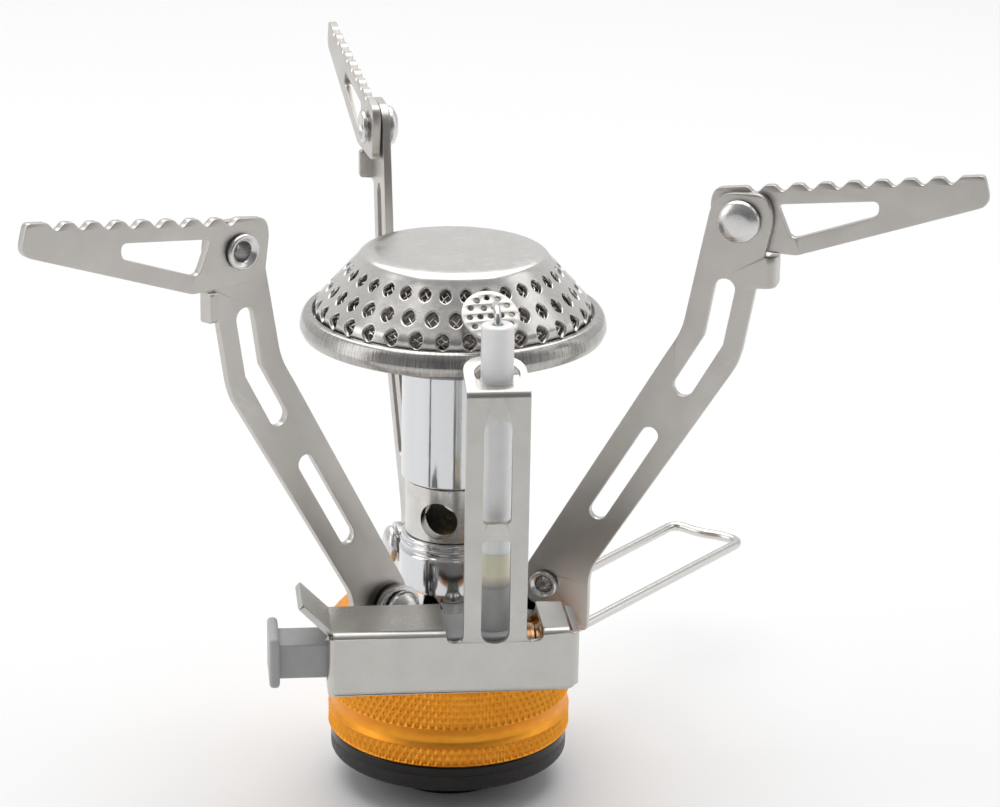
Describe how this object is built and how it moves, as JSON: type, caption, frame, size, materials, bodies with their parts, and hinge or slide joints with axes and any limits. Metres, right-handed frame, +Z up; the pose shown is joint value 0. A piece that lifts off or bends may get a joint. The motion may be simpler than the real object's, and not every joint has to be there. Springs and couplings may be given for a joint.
{
  "type": "camping stove",
  "caption": "Folding canister-top gas stove with toothed pot supports, a perforated burner, a wire valve handle and a piezo igniter.",
  "frame": {"origin": "middle of the unfolded stove's plan view, on the plane that the threaded boss stands on", "axes": "+Z up along the burner, -Y towards the igniter bracket, +X along the bracket away from its button"},
  "size_m": [0.1258, 0.1174, 0.0957],
  "materials": {
    "stainless": "satin brushed",
    "chrome": "bright polished",
    "rivet": "polished",
    "orange": "anodised amber, diamond knurled",
    "black": "glossy",
    "black_metal": "anodised black",
    "rubber": "matte",
    "brass": "turned",
    "dark_steel": "dark, oiled",
    "gauze": "woven wire",
    "grey_plastic": "satin moulded",
    "ceramic": "glazed white ceramic",
    "glue": "cured resin",
    "wire": "bright drawn wire"
  },
  "bodies": {
    "root": {"threaded_socket": "black_metal", "inlet_seal": "rubber", "opener_pin": "brass", "canister_pad": "rubber", "base_ring": "black", "valve_body": "orange", "gland_nut": "rivet", "gas_jet": "brass", "arm_carrier": "stainless", "tube_socket": "chrome", "air_tube": "chrome", "burner_tube": "chrome", "burner_cup": "stainless", "burner_rim": "stainless", "burner_cap": "stainless", "flame_mesh": "gauze", "ignition_disc": "stainless", "base_rivet_1": "rivet", "base_rivet_2": "rivet", "base_rivet_3": "rivet", "base_washer_1": "dark_steel", "base_washer_2": "dark_steel", "base_washer_3": "dark_steel", "igniter_bracket": "stainless", "bracket_screw": "rivet", "igniter_case": "grey_plastic", "button_spring": "wire", "piezo_crystal": "ceramic", "igniter_end_cap": "brass", "electrode_insulator": "ceramic", "insulator_glue": "glue", "electrode_wire": "wire"},
    "spindle_seal": {"spindle_seal": "rubber"},
    "spindle": {"valve_spindle": "brass"},
    "handle": {"valve_handle": "wire"},
    "button": {"igniter_button": "grey_plastic", "striker": "dark_steel"},
    "lower_arm_1": {"lower_arm_1": "stainless", "arm_rivet_1": "rivet"},
    "upper_arm_1": {"upper_arm_1": "stainless"},
    "lower_arm_2": {"lower_arm_2": "stainless", "arm_rivet_2": "rivet"},
    "upper_arm_2": {"upper_arm_2": "stainless"},
    "lower_arm_3": {"lower_arm_3": "stainless", "arm_rivet_3": "rivet"},
    "upper_arm_3": {"upper_arm_3": "stainless"}
  },
  "joints": [
    {"name": "spindle_travel", "type": "slide", "parent": "root", "child": "spindle_seal", "axis": [0.6717, 0.7408, 0], "range_m": [0, 0.0012]},
    {"name": "valve_turn", "type": "hinge", "parent": "spindle_seal", "child": "spindle", "pos_m": [0.00844, 0.00157, 0.016], "axis": [0.6717, 0.7408, 0], "range_deg": [0, 540]},
    {"name": "handle_fold", "type": "hinge", "parent": "spindle", "child": "handle", "pos_m": [0.01032, 0.00364, 0.016], "axis": [0.7408, -0.6717, 0], "range_deg": [-10, 80]},
    {"name": "igniter_press", "type": "slide", "parent": "root", "child": "button", "axis": [1, 0, 0], "range_m": [0, 0.004], "stiffness_N_per_m": 1500, "springref_m": -0.001},
    {"name": "lower_fold_1", "type": "hinge", "parent": "root", "child": "lower_arm_1", "pos_m": [-0.0096, -0.00016, 0.03045], "axis": [0.9928, 0.1201, 0], "range_deg": [0, 11]},
    {"name": "upper_fold_1", "type": "hinge", "parent": "lower_arm_1", "child": "upper_arm_1", "pos_m": [-0.01327, 0.02599, 0.08665], "axis": [0.9928, 0.1201, 0], "range_deg": [0, 158]},
    {"name": "lower_fold_2", "type": "hinge", "parent": "root", "child": "lower_arm_2", "pos_m": [-0.01439, -0.02346, 0.03045], "axis": [-0.5721, 0.8202, 0], "range_deg": [0, 11]},
    {"name": "upper_fold_2", "type": "hinge", "parent": "lower_arm_2", "child": "upper_arm_2", "pos_m": [-0.03576, -0.03898, 0.08665], "axis": [-0.5721, 0.8202, 0], "range_deg": [0, 158]},
    {"name": "lower_fold_3", "type": "hinge", "parent": "root", "child": "lower_arm_3", "pos_m": [0.00853, -0.01635, 0.03045], "axis": [-0.4289, -0.9033, 0], "range_deg": [0, 11]},
    {"name": "upper_fold_3", "type": "hinge", "parent": "lower_arm_3", "child": "upper_arm_3", "pos_m": [0.0326, -0.02722, 0.08665], "axis": [-0.4289, -0.9033, 0], "range_deg": [0, 158]}
  ],
  "couplings": [
    {"joint": "spindle_travel", "follows": "valve_turn", "m_per_rad": 0.000119}
  ]
}
